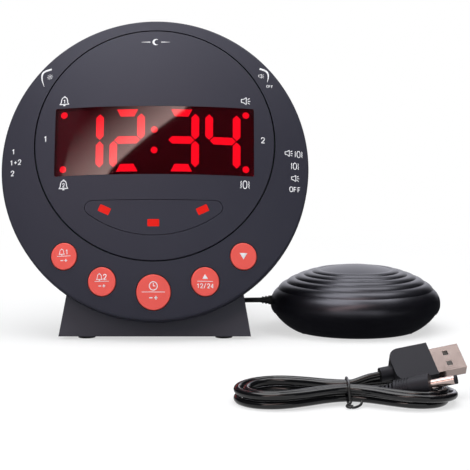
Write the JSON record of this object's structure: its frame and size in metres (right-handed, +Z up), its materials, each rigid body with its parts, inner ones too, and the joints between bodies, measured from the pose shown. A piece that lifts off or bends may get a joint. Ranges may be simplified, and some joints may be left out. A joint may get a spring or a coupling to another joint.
{
  "type": "bed shaker alarm clock",
  "caption": "Round alarm clock on a wedge stand with a red LED display and face buttons, a rippled vibrating bed shaker pad on its own cord, and a tied USB power lead.",
  "frame": {"origin": "on the surface that the clock stands on, under the middle of its stand", "axes": "+Z up; the face looks towards -Y; +X to the right as one faces the clock, towards the shaker"},
  "size_m": [0.2115, 0.2751, 0.1498],
  "materials": {
    "body_plastic": "fine matte, dark blue-grey",
    "stand_plastic": "fine matte, dark grey",
    "panel_plastic": "satin, near black",
    "red_plastic": "matte coral red",
    "lens_acrylic": "glossy dark red",
    "alert_red": "clear red",
    "lit_red": "lit red",
    "dark_segment": "unlit, dark red",
    "reflector_black": "matte black",
    "led_clear": "clear red",
    "board_green": "solder mask",
    "black_plastic": "matte black",
    "control_plastic": "matte black",
    "steel": "bright steel",
    "socket_plastic": "black",
    "rubber_black": "matte black",
    "pad_black": "satin gloss black",
    "cord_black": "satin black",
    "lead_black": "glossy black",
    "tie_black": "black",
    "plug_nickel": "nickel plate",
    "tongue_white": "white",
    "brass_weight": "bare",
    "cone_paper": "black paper cone"
  },
  "bodies": {
    "base": {"front_bezel": "body_plastic", "rear_cover": "body_plastic", "stand": "stand_plastic", "base_plate": "stand_plastic", "alert_leds": "led_clear", "lit_segments": "lit_red", "dark_segments": "dark_segment", "display_reflector": "reflector_black", "display_board": "board_green", "main_board": "board_green", "display_standoffs": "black_plastic", "push_switches": "black_plastic", "hinge_pin": "steel", "snooze_springs": "steel", "case_screws": "steel", "stand_screws": "steel", "potentiometers": "black_plastic", "slide_switch_bodies": "steel", "speaker": "cone_paper", "dc_jack": "socket_plastic", "shaker_jack": "socket_plastic", "jack_nuts": "steel", "backup_cell": "steel", "rubber_feet": "rubber_black", "shaker_upper": "pad_black", "shaker_lower": "pad_black", "shaker_motor": "steel", "shaker_screws": "steel", "shaker_boot": "rubber_black", "shaker_cord": "cord_black", "shaker_cord_coil": "cord_black", "shaker_cord_tail": "cord_black", "coil_tie": "tie_black", "shaker_plug_grip": "rubber_black", "shaker_plug_pin": "plug_nickel", "power_lead": "lead_black", "hank_tie": "tie_black", "usb_overmould": "black_plastic", "usb_shell": "plug_nickel", "usb_tongue": "tongue_white", "barrel_grip": "black_plastic", "barrel": "plug_nickel", "barrel_insulator": "black_plastic"},
    "snooze": {"snooze_plate": "body_plastic", "display_lens": "lens_acrylic", "alert_panel": "panel_plastic", "alert_lenses": "alert_red"},
    "alarm_one": {"alarm_one_button": "red_plastic"},
    "alarm_two": {"alarm_two_button": "red_plastic"},
    "time": {"time_button": "red_plastic"},
    "up": {"up_button": "red_plastic"},
    "down": {"down_button": "red_plastic"},
    "dimmer": {"dimmer_wheel": "control_plastic"},
    "volume": {"volume_wheel": "control_plastic"},
    "alarm_select": {"alarm_select_knob": "control_plastic"},
    "mode_select": {"mode_select_knob": "control_plastic"},
    "door": {"battery_door": "body_plastic"},
    "rotor": {"motor_shaft": "steel", "eccentric_weight": "brass_weight"}
  },
  "joints": [
    {"name": "snooze_press", "type": "hinge", "parent": "base", "child": "snooze", "pos_m": [0, -0.03229, 0.04318], "axis": [-1, 0, 0], "range_deg": [0, 0.9], "stiffness_Nm_per_rad": 12, "springref_deg": -1.15, "deforming": ["snooze_springs"]},
    {"name": "alarm_one_press", "type": "slide", "parent": "base", "child": "alarm_one", "axis": [0, 0.9537, -0.3007], "range_m": [0, 0.0008], "stiffness_N_per_m": 900, "springref_m": -0.0012},
    {"name": "alarm_two_press", "type": "slide", "parent": "base", "child": "alarm_two", "axis": [0, 0.9537, -0.3007], "range_m": [0, 0.0008], "stiffness_N_per_m": 900, "springref_m": -0.0012},
    {"name": "time_press", "type": "slide", "parent": "base", "child": "time", "axis": [0, 0.9537, -0.3007], "range_m": [0, 0.0008], "stiffness_N_per_m": 900, "springref_m": -0.0012},
    {"name": "up_press", "type": "slide", "parent": "base", "child": "up", "axis": [0, 0.9537, -0.3007], "range_m": [0, 0.0008], "stiffness_N_per_m": 900, "springref_m": -0.0012},
    {"name": "down_press", "type": "slide", "parent": "base", "child": "down", "axis": [0, 0.9537, -0.3007], "range_m": [0, 0.0008], "stiffness_N_per_m": 900, "springref_m": -0.0012},
    {"name": "dimmer_turn", "type": "hinge", "parent": "base", "child": "dimmer", "pos_m": [-0.0458, 0.01324, 0.11411], "axis": [0, -0.9537, 0.3007], "range_deg": [-135, 135]},
    {"name": "volume_turn", "type": "hinge", "parent": "base", "child": "volume", "pos_m": [0.0458, 0.01324, 0.11411], "axis": [0, -0.9537, 0.3007], "range_deg": [-135, 135]},
    {"name": "alarm_select_slide", "type": "slide", "parent": "base", "child": "alarm_select", "axis": [0, 0.3007, 0.9537], "range_m": [-0.0052, 0.0052]},
    {"name": "mode_select_slide", "type": "slide", "parent": "base", "child": "mode_select", "axis": [0, 0.3007, 0.9537], "range_m": [-0.0174, 0]},
    {"name": "door_turn", "type": "hinge", "parent": "base", "child": "door", "pos_m": [0, 0.02086, 0.0475], "axis": [0, -0.9537, 0.3007], "range_deg": [0, 60]},
    {"name": "weight_spin", "type": "hinge", "parent": "base", "child": "rotor", "pos_m": [0.107, 0.002, 0.0134], "axis": [1, 0, 0], "continuous": true}
  ]
}
